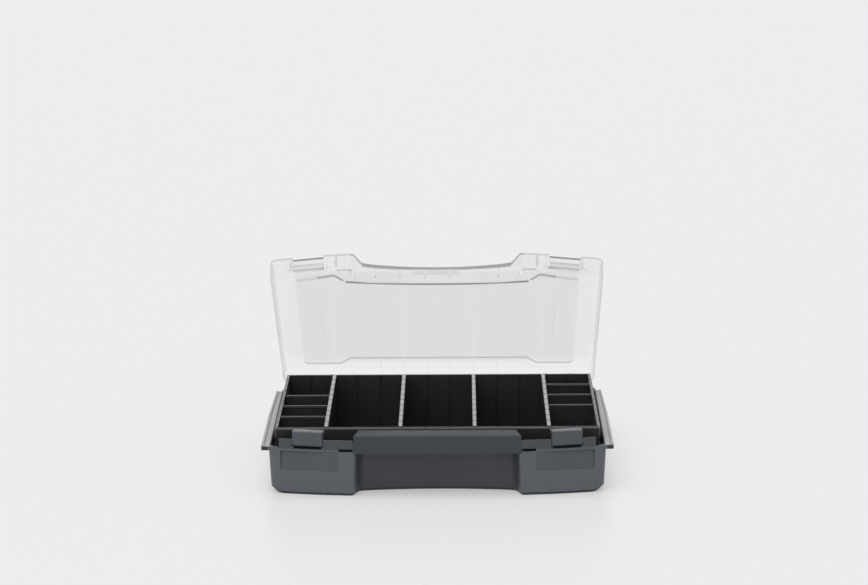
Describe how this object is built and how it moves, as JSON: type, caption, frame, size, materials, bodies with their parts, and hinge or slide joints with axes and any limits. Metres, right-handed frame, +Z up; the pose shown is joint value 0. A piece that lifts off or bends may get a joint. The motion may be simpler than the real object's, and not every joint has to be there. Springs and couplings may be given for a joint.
{
  "type": "tool case",
  "caption": "Low moulded tool case with a clear hinged lid, snap latches, a carry handle, side rails and a grid of dividers for small parts.",
  "frame": {"origin": "middle of the case's footprint, on the ground under the base", "axes": "+X to the right as seen from the handle side, +Y to the back, +Z up"},
  "size_m": [0.367, 0.3224, 0.2454],
  "materials": {
    "base_plastic": "fine satin grain",
    "clear_lid": "clear and polished",
    "latch_plastic": "satin",
    "divider_plastic": "fine satin grain"
  },
  "bodies": {
    "base": {"base_shell": "base_plastic", "long_divider_far_left": "divider_plastic", "long_divider_left": "divider_plastic", "long_divider_right": "divider_plastic", "long_divider_far_right": "divider_plastic", "cross_divider_left_1": "divider_plastic", "cross_divider_left_2": "divider_plastic", "cross_divider_left_3": "divider_plastic", "cross_divider_right_1": "divider_plastic", "cross_divider_right_2": "divider_plastic", "cross_divider_right_3": "divider_plastic"},
    "lid": {"lid": "clear_lid"},
    "latch_left": {"latch_left": "latch_plastic"},
    "latch_right": {"latch_right": "latch_plastic"}
  },
  "joints": [
    {"name": "lid_hinge", "type": "hinge", "parent": "base", "child": "lid", "pos_m": [0, 0.15535, 0.06], "axis": [-1, 0, 0], "range_deg": [-34.1, 70]},
    {"name": "latch_left_hinge", "type": "hinge", "parent": "base", "child": "latch_left", "pos_m": [-0.1343, -0.1488, 0.0539], "axis": [0.9758, -0.2186, 0], "range_deg": [0, 40]},
    {"name": "latch_right_hinge", "type": "hinge", "parent": "base", "child": "latch_right", "pos_m": [0.1343, -0.1488, 0.0539], "axis": [0.9758, 0.2186, 0], "range_deg": [0, 40]}
  ]
}
